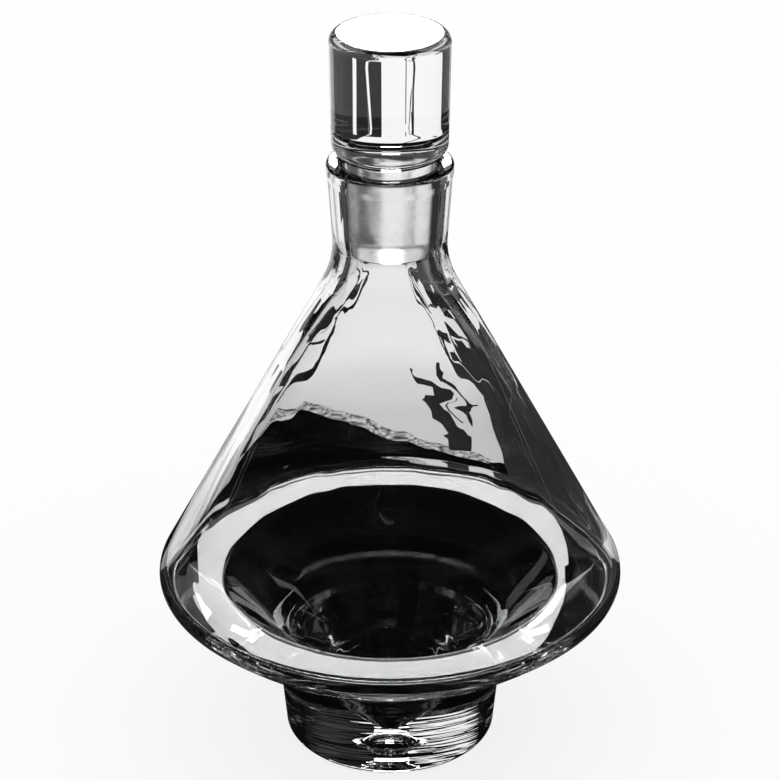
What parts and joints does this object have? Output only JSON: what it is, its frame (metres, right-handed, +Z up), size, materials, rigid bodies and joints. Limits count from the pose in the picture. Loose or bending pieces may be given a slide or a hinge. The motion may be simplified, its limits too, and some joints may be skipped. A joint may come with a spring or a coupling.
{
  "type": "wine decanter",
  "caption": "Clear glass wine decanter with a conical body over a wide rounded rim, a thick bowl on a solid foot, a short neck and a lift-out ground stopper.",
  "frame": {"origin": "middle of the foot's flat underside", "axes": "+Z up along the decanter's axis of turning; it looks the same from every side"},
  "size_m": [0.1726, 0.1726, 0.28],
  "materials": {
    "clear_glass": "clear polished",
    "ground_glass": "ground satin"
  },
  "bodies": {
    "vessel": {"foot": "clear_glass", "bowl": "clear_glass", "cone_shell": "clear_glass", "neck": "clear_glass"},
    "stopper": {"stopper_plug": "ground_glass", "stopper_head": "clear_glass"}
  },
  "joints": [
    {"name": "stopper_lift", "type": "slide", "parent": "vessel", "child": "stopper", "axis": [0, 0, 1], "range_m": [0, 0.045]}
  ]
}
